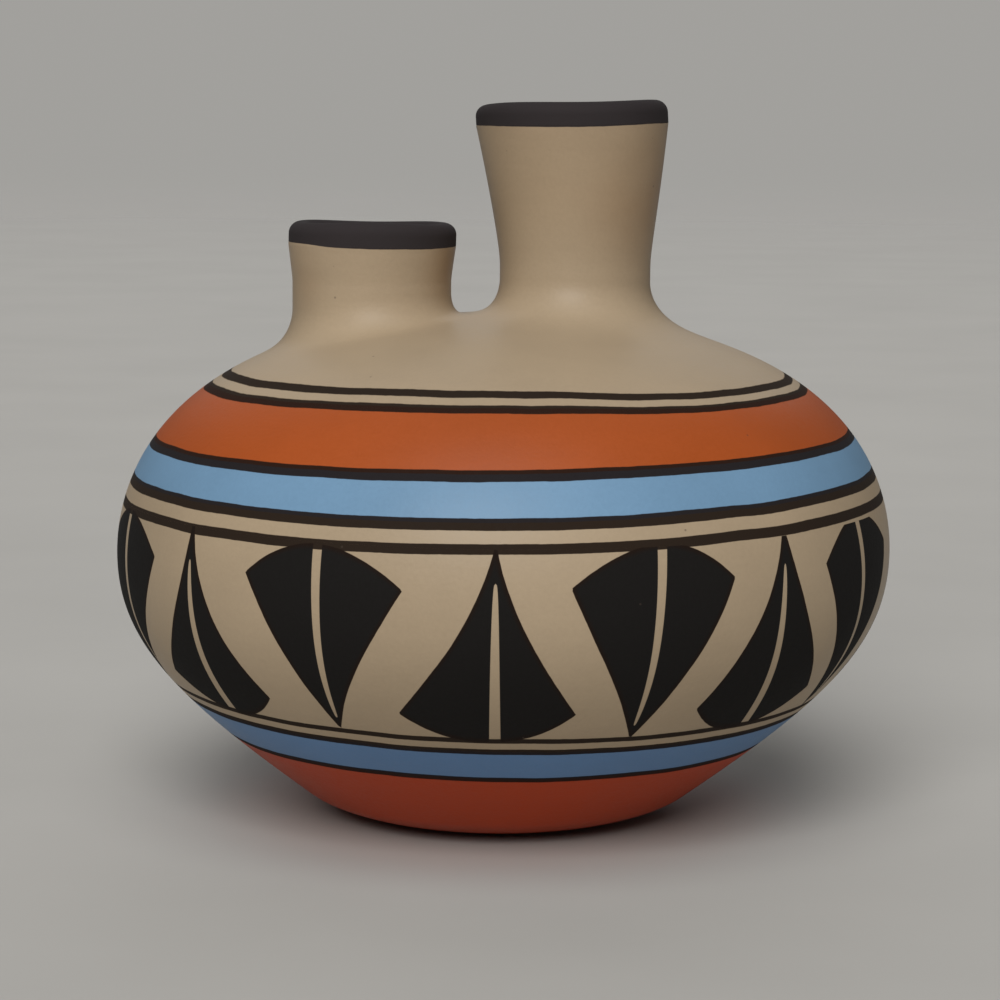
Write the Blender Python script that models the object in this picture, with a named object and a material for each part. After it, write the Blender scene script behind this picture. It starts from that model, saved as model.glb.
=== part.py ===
"""Double-spout vase, built from the pieces that its maker joined in wet clay.

The vase is a squat round jar with two open spouts on its crown, a short one towards -X and a tall one
towards +X. A potter raises it from a foot disc, a bowl, two courses of wall and a crown, then adds two necks
and rolls a lip onto each. Here each of those is a solid of its own, and neighbours meet in bevelled joints.
Lengths are in metres, +Z is up, and the origin is on the table under the widest part of the belly.
"""

import math
from collections import namedtuple

import bmesh
import bpy
import numpy as np
from mathutils import Vector
from mathutils.geometry import interpolate_bezier

MM = 0.001

# Wall and joints
WALL = 5.5 * MM
JOINT_LAP = 3.0 * MM  # how far a bevelled joint climbs from the outside of the wall to the inside
JOINT_GAP = 0.35 * MM  # room for the slip in a joint, measured along the wall

# Outline of the body: foot, flank, belly and dome, each with the reach of its curve's handles
FOOT_RADIUS = 24.0 * MM
FOOT_REACH = 4.0 * MM
FLANK_RADIUS = 45.0 * MM
FLANK_HEIGHT = 6.0 * MM
FLANK_RISE = math.radians(37.0)
FLANK_REACH_DOWN = 6.0 * MM
FLANK_REACH_UP = 40.7 * MM
BELLY_RADIUS = 89.0 * MM
BELLY_HEIGHT = 62.0 * MM
BELLY_REACH_DOWN = 19.4 * MM
BELLY_REACH_UP = 13.5 * MM
DOME_HEIGHT = 115.6 * MM
DOME_INSET = 7.0 * MM  # how far inside the belly's radius the dome's curve turns level
LEAN = 0.018  # sideways drift of the hand-raised wall towards +X for each unit of height

# Courses of the wall
FOOT_JOINT_HEIGHT = 2.8 * MM
BOWL_HEIGHT = 28.3 * MM
SHOULDER_COURSE = 26.3 * MM  # height of the course between the belly and the crown
CROWN_DEPTH = 15.4 * MM  # from the top of the dome down to the crown's joint

# Short spout
SHORT_AXIS_X = -31.6 * MM
SHORT_WAIST_RADIUS = 18.2 * MM
SHORT_RIM_RADIUS = 19.2 * MM
SHORT_RIM_RISE = 20.9 * MM  # from the top of the dome up to the rim
SHORT_VALLEY_FLARE = 2.8 * MM  # width of the flare at the neck's root, on the side of the other neck
SHORT_VALLEY_CLIMB = 4.0 * MM  # height of that flare
SHORT_OUTER_FLARE = 7.0 * MM
SHORT_OUTER_CLIMB = 8.0 * MM
SHORT_RIM_DRIFT = 0.2 * MM  # how far the rim stands out of line with the neck's root
SHORT_RIM_SLOPE = -0.008  # rise of the rim for each unit of length towards +X
SHORT_LIP_HEIGHT = 5.2 * MM

# Tall spout
TALL_AXIS_X = 15.0 * MM
TALL_WAIST_RADIUS = 17.25 * MM
TALL_RIM_RADIUS = 21.9 * MM
TALL_RIM_RISE = 48.4 * MM
TALL_VALLEY_FLARE = 7.5 * MM
TALL_VALLEY_CLIMB = 8.4 * MM
TALL_OUTER_FLARE = 15.0 * MM
TALL_OUTER_CLIMB = 10.2 * MM
TALL_RIM_DRIFT = -1.3 * MM
TALL_RIM_SLOPE = 0.030
TALL_LIP_HEIGHT = 5.0 * MM

# Both spouts
COLLAR_STRAIGHT = 2.0 * MM  # plain tube above the highest part of a flare, before the neck's joint
NECK_BELL = 0.12  # how softly a neck starts to widen, as a share of its length: 0 is a straight cone
LIP_ROUND = 2.6 * MM

# Facets
AROUND_BODY = 56
AROUND_NECK = 36
OUTLINE_SAMPLES = 200
FOOT_STEPS = 4
BOWL_STEPS = 6
BELLY_STEPS = 8
SHOULDER_STEPS = 5
CROWN_STEPS = 8
VALLEY_STEPS = 10
NECK_STEPS = 5
LIP_ROUND_STEPS = 4

# Colours of the slips on the clay, as linear red, green and blue
TAN = (0.42, 0.32, 0.20)
TERRACOTTA = (0.42, 0.12, 0.04)
BLACK = (0.022, 0.020, 0.019)

Spout = namedtuple(
    "Spout",
    "axis_x waist rim rim_height valley_flare valley_climb outer_flare outer_climb "
    "rim_drift rim_slope lip_height faces",
)

SHORT = Spout(
    SHORT_AXIS_X,
    SHORT_WAIST_RADIUS,
    SHORT_RIM_RADIUS,
    DOME_HEIGHT + SHORT_RIM_RISE,
    SHORT_VALLEY_FLARE,
    SHORT_VALLEY_CLIMB,
    SHORT_OUTER_FLARE,
    SHORT_OUTER_CLIMB,
    SHORT_RIM_DRIFT,
    SHORT_RIM_SLOPE,
    SHORT_LIP_HEIGHT,
    1,
)
TALL = Spout(
    TALL_AXIS_X,
    TALL_WAIST_RADIUS,
    TALL_RIM_RADIUS,
    DOME_HEIGHT + TALL_RIM_RISE,
    TALL_VALLEY_FLARE,
    TALL_VALLEY_CLIMB,
    TALL_OUTER_FLARE,
    TALL_OUTER_CLIMB,
    TALL_RIM_DRIFT,
    TALL_RIM_SLOPE,
    TALL_LIP_HEIGHT,
    -1,
)

# The line between the two necks where the halves of the crown meet
VALLEY_X = ((SHORT.axis_x + SHORT.waist) + (TALL.axis_x - TALL.waist)) / 2


def clear_scene():
    for thing in list(bpy.data.objects):
        bpy.data.objects.remove(thing, do_unlink=True)


def body_outline():
    """Radius and height along the outside, from the foot's edge up to the top of the dome."""
    foot = Vector((FOOT_RADIUS, 0, 0))
    flank = Vector((FLANK_RADIUS, FLANK_HEIGHT, 0))
    belly = Vector((BELLY_RADIUS, BELLY_HEIGHT, 0))
    dome = Vector((0, DOME_HEIGHT, 0))
    along_flank = Vector((math.cos(FLANK_RISE), math.sin(FLANK_RISE), 0))
    up = Vector((0, 1, 0))
    stretches = (
        (foot, foot + Vector((FOOT_REACH, 0, 0)), flank - along_flank * FLANK_REACH_DOWN, flank),
        (flank, flank + along_flank * FLANK_REACH_UP, belly - up * BELLY_REACH_DOWN, belly),
        (belly, belly + up * BELLY_REACH_UP, Vector((BELLY_RADIUS - DOME_INSET, DOME_HEIGHT, 0)), dome),
    )
    points = [foot]
    for stretch in stretches:
        points += interpolate_bezier(*stretch, OUTLINE_SAMPLES)[1:]
    return np.array([(point.x, point.y) for point in points])


OUTER = body_outline()
STEP_LENGTHS = np.linalg.norm(np.diff(OUTER, axis=0), axis=1)
ALONG = np.concatenate([[0], np.cumsum(STEP_LENGTHS)])
TANGENTS = np.gradient(OUTER, axis=0)
TANGENTS /= np.linalg.norm(TANGENTS, axis=1, keepdims=True)
INNER = OUTER + WALL * np.column_stack([-TANGENTS[:, 1], TANGENTS[:, 0]])


def along_at(height):
    """Distance along the outline where the outside reaches a height."""
    return float(np.interp(height, OUTER[:, 1], ALONG))


def points_along(curve, start, end, steps):
    """Points of the outer or the inner curve between two distances along the outline."""
    stations = np.linspace(start, end, steps + 1)
    return [(np.interp(s, ALONG, curve[:, 0]), np.interp(s, ALONG, curve[:, 1])) for s in stations]


def dome_height(radius, inset):
    """Height of the dome at a radius: its outside where inset is 0, its inside where inset is the wall."""
    curve = INNER if inset else OUTER
    upper = curve[-OUTLINE_SAMPLES:][::-1]
    return np.interp(radius, upper[:, 0], upper[:, 1])


def flare_height(spout, x, y, inset):
    """How far the flare at a neck's root lifts the dome: a quarter ellipse, narrow towards the other neck."""
    from_axis = np.hypot(x - spout.axis_x, y)
    away = (1 - spout.faces * (x - spout.axis_x) / from_axis) / 2
    width = spout.valley_flare + (spout.outer_flare - spout.valley_flare) * away + inset
    climb = spout.valley_climb + (spout.outer_climb - spout.valley_climb) * away + inset
    outside_wall = from_axis - (spout.waist - inset)
    reach = np.clip(1 - outside_wall / width, 0, 1)
    return climb * (1 - np.sqrt(1 - reach**2))


def crown_height(x, y, inset):
    """Height of the crown's surface: the dome, lifted around both necks."""
    lifted = flare_height(SHORT, x, y, inset) + flare_height(TALL, x, y, inset)
    return dome_height(np.hypot(x, y), inset) + lifted


def collar_height(spout):
    """Height of the joint between the crown and a neck, clear of the whole flare."""
    turn = np.linspace(0, 2 * np.pi, 4 * AROUND_NECK)
    x = spout.axis_x + spout.waist * np.cos(turn)
    y = spout.waist * np.sin(turn)
    return float(crown_height(x, y, 0).max()) + COLLAR_STRAIGHT


def neck_radius(spout, height):
    """Outer radius of a neck, which widens from its waist at the collar to its full width under the lip."""
    collar = collar_height(spout)
    share = np.clip((height - collar) / (spout.rim_height - spout.lip_height - collar), 0, 1)
    widening = (np.hypot(share, NECK_BELL) - NECK_BELL) / (math.hypot(1, NECK_BELL) - NECK_BELL)
    return spout.waist + (spout.rim - spout.waist) * widening


def settle_spout(spout, points):
    """Lets a turned spout drift and slope towards its rim, then moves it onto its axis."""
    collar = collar_height(spout)
    share = np.clip((points[:, 2] - collar) / (spout.rim_height - collar), 0, 1)
    points[:, 2] += spout.rim_slope * points[:, 0] * share
    points[:, 0] += spout.axis_x + spout.rim_drift * share**2


def lean(points):
    """Shifts every level sideways by the lean of the wall, which ends at the top of the dome."""
    points[:, 0] += LEAN * (np.minimum(points[:, 2], DOME_HEIGHT) - BELLY_HEIGHT)


def slip(name, colour, roughness):
    material = bpy.data.materials.new(name)
    material.use_nodes = True
    shader = material.node_tree.nodes["Principled BSDF"]
    shader.inputs["Base Color"].default_value = (*colour, 1)
    shader.inputs["Roughness"].default_value = roughness
    shader.inputs["Metallic"].default_value = 0
    return material


def finish_piece(name, form, material, spout=None):
    """Turns a closed form into a named object, with its lean and its smooth shading."""
    bmesh.ops.remove_doubles(form, verts=form.verts, dist=0.001 * MM)
    bmesh.ops.recalc_face_normals(form, faces=form.faces)
    mesh = bpy.data.meshes.new(name)
    form.to_mesh(mesh)
    form.free()
    points = np.array([vertex.co for vertex in mesh.vertices])
    if spout:
        settle_spout(spout, points)
    lean(points)
    mesh.vertices.foreach_set("co", points.ravel())
    mesh.materials.append(material)
    mesh.shade_smooth()
    mesh.set_sharp_from_angle(angle=math.radians(40))
    piece = bpy.data.objects.new(name, mesh)
    bpy.context.scene.collection.objects.link(piece)
    return piece


def turned(section, steps, closed=True):
    """A section of radii and heights, spun once round the Z axis."""
    form = bmesh.new()
    corners = [form.verts.new((radius, 0, height)) for radius, height in section]
    ends = corners[1:] + corners[:1] if closed else corners[1:]
    edges = [form.edges.new(pair) for pair in zip(corners, ends)]
    bmesh.ops.spin(
        form,
        geom=corners + edges,
        cent=(0, 0, 0),
        axis=(0, 0, 1),
        angle=math.tau,
        steps=steps,
        use_merge=True,
    )
    return form


def course_section(start, end, steps):
    """Closed section of one course of wall, between two distances along the outline."""
    outside = points_along(OUTER, start, end, steps)
    inside = points_along(INNER, end + JOINT_LAP, start + JOINT_LAP, steps)
    return outside + inside


def build_foot(material):
    """The flat disc that the vase stands on, with its edge turned up to meet the bowl."""
    joint = along_at(FOOT_JOINT_HEIGHT)
    outside = points_along(OUTER, 0, joint, FOOT_STEPS)
    inside = points_along(INNER, joint + JOINT_LAP, 0, FOOT_STEPS)
    section = [(0, 0)] + outside + inside + [(0, WALL)]
    finish_piece("foot_disc", turned(section, AROUND_BODY, closed=False), material)


def build_course(name, lower_joint, upper_joint, steps, material):
    """One ring of wall, from just above its lower joint up to its upper joint."""
    section = course_section(lower_joint + JOINT_GAP, upper_joint, steps)
    finish_piece(name, turned(section, AROUND_BODY), material)


def crown_border(radius, faces, arc_steps):
    """Plan of one half of the crown: its side of the valley line, then its arc of the joint with the shoulder."""
    half = math.sqrt(radius**2 - VALLEY_X**2)
    spread = np.linspace(-1, 1, VALLEY_STEPS + 1)
    line_y = faces * half * spread * np.sqrt(abs(spread))
    line = np.column_stack([np.full(VALLEY_STEPS + 1, VALLEY_X), line_y])
    corner = math.acos(VALLEY_X / radius)
    first, last = (corner, math.tau - corner) if faces > 0 else (-corner, corner)
    turn = np.linspace(first, last, arc_steps + 1)[1:-1]
    return np.concatenate([line, radius * np.column_stack([np.cos(turn), np.sin(turn)])])


def crown_rings(spout, border, inset):
    """Closed rings of one half of the crown, from its border in to the neck's wall, closest at both ends."""
    axis = np.array([spout.axis_x, 0])
    wall_radius = spout.waist - inset
    length = np.linalg.norm(border - axis, axis=1)
    outward = (border - axis) / length[:, None]
    rings = []
    for step in np.linspace(1, 0, CROWN_STEPS + 1):
        share = step**2 * (3 - 2 * step)
        plan = axis + outward * (wall_radius + (length - wall_radius) * share)[:, None]
        rings.append(np.column_stack([plan, crown_height(plan[:, 0], plan[:, 1], inset)]))
    collar = collar_height(spout) + (JOINT_LAP if inset else 0)
    rings.append(np.column_stack([plan, np.full(len(plan), collar)]))
    return rings


def add_half_crown(form, spout, outer_radius, inner_radius):
    """Lofts one half of the crown: up its outside to the collar, over the joint and down its inside."""
    corner = math.acos(VALLEY_X / outer_radius)
    arc = math.tau - 2 * corner if spout.faces > 0 else 2 * corner
    arc_steps = round(AROUND_BODY * arc / math.tau)
    outside = crown_rings(spout, crown_border(outer_radius, spout.faces, arc_steps), 0)
    inside = crown_rings(spout, crown_border(inner_radius, spout.faces, arc_steps), WALL)
    rows = [[form.verts.new(point) for point in ring] for ring in outside + inside[::-1]]
    count = len(rows[0])
    for lower, upper in zip(rows, rows[1:]):
        for i in range(count):
            following = (i + 1) % count
            form.faces.new((lower[i], lower[following], upper[following], upper[i]))
    for i in range(VALLEY_STEPS, count):
        following = (i + 1) % count
        form.faces.new((rows[-1][i], rows[-1][following], rows[0][following], rows[0][i]))


def build_crown(joint, material):
    """The domed top, from which two collars rise: one smooth surface flows from the dome up to both necks."""
    start = joint + JOINT_GAP
    outer_radius = points_along(OUTER, start, start, 0)[0][0]
    inner_radius = points_along(INNER, start + JOINT_LAP, start + JOINT_LAP, 0)[0][0]
    form = bmesh.new()
    for spout in (SHORT, TALL):
        add_half_crown(form, spout, outer_radius, inner_radius)
    finish_piece("crown", form, material)


def build_neck(name, spout, material):
    """An open tube that widens from the collar to the joint under its lip, with its inside shorter at both ends."""
    foot = collar_height(spout) + JOINT_GAP
    top = spout.rim_height - spout.lip_height
    outside_heights = np.linspace(foot, top, NECK_STEPS + 1)
    inside_heights = np.linspace(top - JOINT_LAP, foot + JOINT_LAP, NECK_STEPS + 1)
    outside = [(float(neck_radius(spout, z)), z) for z in outside_heights]
    inside = [(float(neck_radius(spout, z)) - WALL, z) for z in inside_heights]
    finish_piece(name, turned(outside + inside, AROUND_NECK), material, spout)


def build_lip(name, spout, material):
    """The rolled lip: a short ring with a round top, which laps down inside the neck."""
    foot = spout.rim_height - spout.lip_height + JOINT_GAP
    round_radius = min(LIP_ROUND, 0.48 * WALL)
    rim_inner = spout.rim - WALL
    level = spout.rim_height - round_radius
    outer_foot = (float(neck_radius(spout, foot)), foot)
    inner_foot = (float(neck_radius(spout, foot - JOINT_LAP)) - WALL, foot - JOINT_LAP)
    quarter = np.linspace(0, math.pi / 2, LIP_ROUND_STEPS + 1)
    outer_round = [
        (spout.rim - round_radius + round_radius * math.cos(a), level + round_radius * math.sin(a)) for a in quarter
    ]
    inner_round = [
        (rim_inner + round_radius - round_radius * math.sin(a), level + round_radius * math.cos(a)) for a in quarter
    ]
    section = [outer_foot] + outer_round + inner_round + [inner_foot]
    finish_piece(name, turned(section, AROUND_NECK), material, spout)


def build_vase():
    clear_scene()
    foot_joint = along_at(FOOT_JOINT_HEIGHT)
    bowl_joint = along_at(BOWL_HEIGHT)
    crown_joint = along_at(DOME_HEIGHT - CROWN_DEPTH)
    shoulder_joint = along_at(DOME_HEIGHT - CROWN_DEPTH - SHOULDER_COURSE)
    build_foot(slip("foot_slip", TERRACOTTA, 0.55))
    build_course("lower_bowl", foot_joint, bowl_joint, BOWL_STEPS, slip("bowl_slip", TERRACOTTA, 0.5))
    build_course("belly_ring", bowl_joint, shoulder_joint, BELLY_STEPS, slip("belly_slip", TAN, 0.5))
    build_course("shoulder_ring", shoulder_joint, crown_joint, SHOULDER_STEPS, slip("shoulder_slip", TERRACOTTA, 0.5))
    build_crown(crown_joint, slip("crown_slip", TAN, 0.5))
    build_neck("short_neck", SHORT, slip("short_neck_slip", TAN, 0.5))
    build_neck("tall_neck", TALL, slip("tall_neck_slip", TAN, 0.5))
    build_lip("short_lip", SHORT, slip("short_lip_slip", BLACK, 0.45))
    build_lip("tall_lip", TALL, slip("tall_lip_slip", BLACK, 0.45))


build_vase()
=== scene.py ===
# %% [markdown]
# # A double-spout vase in painted slip
# The object is a hand-built earthenware vase: a round belly, two necks of unequal height, bands of
# coloured slip and a frieze of feathers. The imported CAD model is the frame. Each piece below repeats the
# CAD sizes, in millimetres, on a much finer grid, so that painted edges and highlights stay smooth.

# %% Load the frame
import math
from collections import namedtuple

import bpy
import numpy as np
from mathutils import Matrix


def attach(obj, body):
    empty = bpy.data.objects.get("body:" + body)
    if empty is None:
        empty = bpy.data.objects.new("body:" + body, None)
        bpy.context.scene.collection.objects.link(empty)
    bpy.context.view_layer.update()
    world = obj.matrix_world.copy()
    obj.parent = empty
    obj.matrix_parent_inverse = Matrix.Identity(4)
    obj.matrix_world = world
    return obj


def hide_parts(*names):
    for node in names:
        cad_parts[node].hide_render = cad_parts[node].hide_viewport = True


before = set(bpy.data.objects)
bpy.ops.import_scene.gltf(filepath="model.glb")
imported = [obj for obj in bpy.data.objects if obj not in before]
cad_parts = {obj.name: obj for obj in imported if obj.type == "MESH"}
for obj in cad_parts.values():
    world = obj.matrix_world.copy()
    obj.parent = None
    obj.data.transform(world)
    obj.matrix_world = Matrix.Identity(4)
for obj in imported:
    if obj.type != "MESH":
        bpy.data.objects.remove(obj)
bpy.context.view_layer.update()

MM = 0.001

# %% [markdown]
# ## Camera
# The view is from a little above the vase, with a long lens, so the necks and the foot are seen in nearly
# the same proportion. The lens is worked out from a focal length in pixels of a 1000 pixel wide picture.
# The camera turns in three steps: roll about its own line of sight, pitch down, then yaw.

# %% Camera
PICTURE_PIXELS = 1000
FOCAL_PIXELS = 3313
EYE = (0, -760.4 * MM, 174.5 * MM)
PITCH_DOWN = math.radians(7.64)
ROLL = math.radians(0.44)
YAW = math.radians(0.064)
FARTHEST_SEEN = 20

lens = bpy.data.cameras.new("camera")
lens.lens = FOCAL_PIXELS / PICTURE_PIXELS * lens.sensor_width
lens.clip_end = FARTHEST_SEEN
camera = bpy.data.objects.new("camera", lens)
pitched = Matrix.Rotation(math.pi / 2 - PITCH_DOWN, 4, "X") @ Matrix.Rotation(ROLL, 4, "Z")
camera.matrix_world = Matrix.Translation(EYE) @ Matrix.Rotation(YAW, 4, "Z") @ pitched
scene = bpy.context.scene
scene.collection.objects.link(camera)
scene.camera = camera
print("lens in millimetres:", round(lens.lens, 2))

# %% [markdown]
# ## Helpers for nodes
# A material is a small graph. Most of these helpers add one node, link it to what feeds it, and hand back
# the socket that the next node reads, so a material can be written as a short list of steps.


# %% Helpers for nodes
def add_node(tree, kind, inputs=None, **settings):
    """Adds a node; inputs maps a socket's name or number to a value or to the socket that feeds it."""
    made = tree.nodes.new(kind)
    for name, value in settings.items():
        setattr(made, name, value)
    for name, value in (inputs or {}).items():
        if isinstance(value, bpy.types.NodeSocket):
            tree.links.new(value, made.inputs[name])
        else:
            made.inputs[name].default_value = value
    return made


def calculate(tree, operation, first, second=0.0):
    """One sum, product or other operation on two values."""
    return add_node(tree, "ShaderNodeMath", {0: first, 1: second}, operation=operation).outputs[0]


def remap(tree, value, low, high, to_low, to_high, smooth=False):
    """Moves a value from one range to another, held at the ends."""
    ends = {"Value": value, "From Min": low, "From Max": high, "To Min": to_low, "To Max": to_high}
    kind = "SMOOTHSTEP" if smooth else "LINEAR"
    return add_node(tree, "ShaderNodeMapRange", ends, interpolation_type=kind).outputs["Result"]


def blend(tree, share, first, second, mode="MIX"):
    """Mixes two colours, sockets 6 and 7 of the node; the share is how much of the second shows."""
    sockets = {0: share, 6: first, 7: second}
    return add_node(tree, "ShaderNodeMix", sockets, data_type="RGBA", blend_type=mode).outputs[2]


def object_place(tree):
    """The place of a point on the object, in metres."""
    return add_node(tree, "ShaderNodeTexCoord").outputs["Object"]


def cloud(tree, place, scale, detail=2.0, roughness=0.5):
    """Soft noise around one half; scale is the number of patches in a metre."""
    inputs = {"Vector": place, "Scale": scale, "Detail": detail, "Roughness": roughness}
    return add_node(tree, "ShaderNodeTexNoise", inputs).outputs["Fac"]


def surface_value(tree, name):
    """A number stored on each point of the mesh."""
    return add_node(tree, "ShaderNodeAttribute", attribute_name=name).outputs["Fac"]


def new_finish(name):
    """A new material, its tree and its shader."""
    material = bpy.data.materials.new(name)
    material.use_nodes = True
    return material, material.node_tree, material.node_tree.nodes["Principled BSDF"]


# %% [markdown]
# ## Floor
# The vase stands on a plain pale floor: one large face with faint soft patches. Farther away the floor
# turns transparent and lets the backdrop through, so that no horizon line crosses the picture. Its sizes
# are in metres.

# %% Floor
FLOOR_HALF = 6.0
FLOOR_FADE = (0.5, 4.5)
FLOOR_COLOUR = (0.485, 0.468, 0.436, 1)
FLOOR_ROUGHNESS = 0.7
FLOOR_PATCHES = {"scale": 9, "detail": 5}
FLOOR_PATCH_RANGE = (0.3, 0.7)
FLOOR_PATCH_SHADE = 0.94

corners = [(x * FLOOR_HALF, y * FLOOR_HALF, 0) for x, y in ((-1, -1), (1, -1), (1, 1), (-1, 1))]
floor_mesh = bpy.data.meshes.new("floor")
floor_mesh.from_pydata(corners, [], [(0, 1, 2, 3)])
floor = bpy.data.objects.new("floor", floor_mesh)
scene.collection.objects.link(floor)

floor_finish, tree, shader = new_finish("floor_finish")
place = object_place(tree)
floor_cloud = cloud(tree, place, **FLOOR_PATCHES)
patches = remap(tree, floor_cloud, *FLOOR_PATCH_RANGE, 0.0, 1.0)
patch_colour = tuple(FLOOR_PATCH_SHADE * value for value in FLOOR_COLOUR[:3]) + (1,)
tree.links.new(blend(tree, patches, FLOOR_COLOUR, patch_colour), shader.inputs["Base Color"])
shader.inputs["Roughness"].default_value = FLOOR_ROUGHNESS
far = add_node(tree, "ShaderNodeVectorMath", {0: place}, operation="LENGTH").outputs["Value"]
tree.links.new(remap(tree, far, *FLOOR_FADE, 1.0, 0.0, smooth=True), shader.inputs["Alpha"])
floor_mesh.materials.append(floor_finish)
print("floor fades from", FLOOR_FADE[0], "to", FLOOR_FADE[1], "metres")

# %% [markdown]
# ## Light
# The key light comes from in front, a little from the left and less than half way up, low enough to light
# the floor right up to the foot. A weaker one comes from nearly overhead, and a faint one from behind
# keeps the far side readable. All three are suns with a very wide disc, which light the floor evenly, as
# large softboxes far away would; their angles are in degrees. A dim even sky softens the rest, and the
# camera sees a quiet backdrop in its place.

# %% Light
Softbox = namedtuple("Softbox", "name rise left width strength")
SOFTBOXES = (
    Softbox("key", rise=36, left=8, width=34, strength=2.30),
    Softbox("top", rise=66, left=6, width=40, strength=0.80),
    Softbox("back", rise=38, left=178, width=60, strength=0.40),
)
SKY_COLOUR = (0.95, 0.98, 1.0, 1)
SKY_STRENGTH = 0.09
BACKDROP_COLOUR = (0.36, 0.352, 0.335, 1)

for softbox in SOFTBOXES:
    lamp = bpy.data.lights.new(softbox.name, "SUN")
    lamp.energy = softbox.strength
    lamp.angle = math.radians(softbox.width)
    light = bpy.data.objects.new(softbox.name, lamp)
    light.rotation_euler = (math.radians(90 - softbox.rise), 0, -math.radians(softbox.left))
    scene.collection.objects.link(light)

sky = bpy.data.worlds.new("sky")
sky.use_nodes = True
tree = sky.node_tree
seen = add_node(tree, "ShaderNodeLightPath").outputs["Is Camera Ray"]
sky_inputs = {"Color": SKY_COLOUR, "Strength": SKY_STRENGTH}
sky_light = add_node(tree, "ShaderNodeBackground", sky_inputs).outputs[0]
backdrop = add_node(tree, "ShaderNodeBackground", {"Color": BACKDROP_COLOUR}).outputs[0]
either = add_node(tree, "ShaderNodeMixShader", {0: seen, 1: sky_light, 2: backdrop}).outputs[0]
tree.links.new(either, tree.nodes["World Output"].inputs["Surface"])
scene.world = sky
scene.view_settings.view_transform = "Standard"
print("lights:", [softbox.name for softbox in SOFTBOXES])

# %% [markdown]
# ## The body's outline
# A potter sees the body as one line that is turned about the axis. Three cubic curves give it: the foot's
# edge to the flank, the flank to the widest point of the belly, and the belly to the top of the dome. The
# inside is the same line, moved in by the wall.

# %% The body's outline
WALL = 5.5
FOOT_RADIUS = 24
FOOT_REACH = 4
FLANK_RADIUS = 45
FLANK_HEIGHT = 6
FLANK_RISE = math.radians(37)
FLANK_REACH_DOWN = 6
FLANK_REACH_UP = 40.7
BELLY_RADIUS = 89
BELLY_HEIGHT = 62
BELLY_REACH_DOWN = 19.4
BELLY_REACH_UP = 13.5
DOME_HEIGHT = 115.6
DOME_INSET = 7
LEAN = 0.018
OUTLINE_SAMPLES = 800


def cubic(start, first_handle, second_handle, end):
    """Points of a cubic Bezier curve: the four points weighted by the cubic Bernstein polynomials."""
    t = np.linspace(0, 1, OUTLINE_SAMPLES)[:, None]
    weights = np.hstack([(1 - t) ** 3, 3 * t * (1 - t) ** 2, 3 * t**2 * (1 - t), t**3])
    return weights @ np.array([start, first_handle, second_handle, end], float)


foot = np.array([FOOT_RADIUS, 0.0])
flank = np.array([FLANK_RADIUS, FLANK_HEIGHT], float)
belly = np.array([BELLY_RADIUS, BELLY_HEIGHT], float)
dome_handle = (BELLY_RADIUS - DOME_INSET, DOME_HEIGHT)
along_flank = np.array([math.cos(FLANK_RISE), math.sin(FLANK_RISE)])
up = np.array([0.0, 1.0])
foot_curve = cubic(foot, foot + (FOOT_REACH, 0), flank - along_flank * FLANK_REACH_DOWN, flank)
flank_curve = cubic(flank, flank + along_flank * FLANK_REACH_UP, belly - up * BELLY_REACH_DOWN, belly)
dome_curve = cubic(belly, belly + up * BELLY_REACH_UP, dome_handle, (0, DOME_HEIGHT))
OUTER = np.concatenate([foot_curve, flank_curve[1:], dome_curve[1:]])
ALONG = np.concatenate([[0], np.cumsum(np.linalg.norm(np.diff(OUTER, axis=0), axis=1))])
tangents = np.gradient(OUTER, axis=0)
tangents /= np.linalg.norm(tangents, axis=1, keepdims=True)
INNER = OUTER + WALL * np.column_stack([-tangents[:, 1], tangents[:, 0]])


def along_at(height):
    """Distance along the outline where the outside reaches a height."""
    return float(np.interp(height, OUTER[:, 1], ALONG))


def points_along(curve, start, end, count):
    """Evenly spaced points of the outer or the inner curve between two distances along the outline."""
    stations = np.linspace(start, end, count)
    return np.column_stack([np.interp(stations, ALONG, values) for values in curve.T])


def lean(points):
    """Shifts each level sideways in proportion to its height over the belly, up to the top of the dome."""
    shift = LEAN * (np.minimum(points[:, 2], DOME_HEIGHT) - BELLY_HEIGHT)
    return points + np.column_stack([shift, np.zeros(len(points)), np.zeros(len(points))])


print("outline length in millimetres:", round(float(ALONG[-1]), 1))

# %% [markdown]
# ## Where the painted lines run
# The painter set out eight black lines by eye, so each one is a little tilted and bowed, and the top two
# sag on the right of the front. For every point of the surface the script stores its level: the height
# that the point would have if all the lines were flat. The material then only has to compare that level
# with fixed heights.

# %% Where the painted lines run
Line = namedtuple("Line", "bottom top tilt bow sag")
LINES = (
    Line(19.75, 21.1, -0.0090, -0.10, 0.0),
    Line(27.8, 29.3, -0.0145, -0.35, 0.0),
    Line(30.9, 32.15, -0.0140, -0.35, 0.0),
    Line(73.25, 75.4, 0.0146, -0.40, 0.0),
    Line(78.1, 80.5, 0.0135, -0.50, 0.0),
    Line(87.15, 89.35, 0.0165, 0.0, 0.0),
    Line(99.35, 100.8, 0.0040, 0.60, 0.65),
    Line(102.05, 103.3, -0.0010, 0.70, 0.65),
)
SAG_ANGLE = math.radians(37)
SAG_WIDTH = math.radians(21)
LEVEL_PASSES = 4


def middle_of(line):
    """The level half way up a line."""
    return (line.bottom + line.top) / 2


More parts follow.
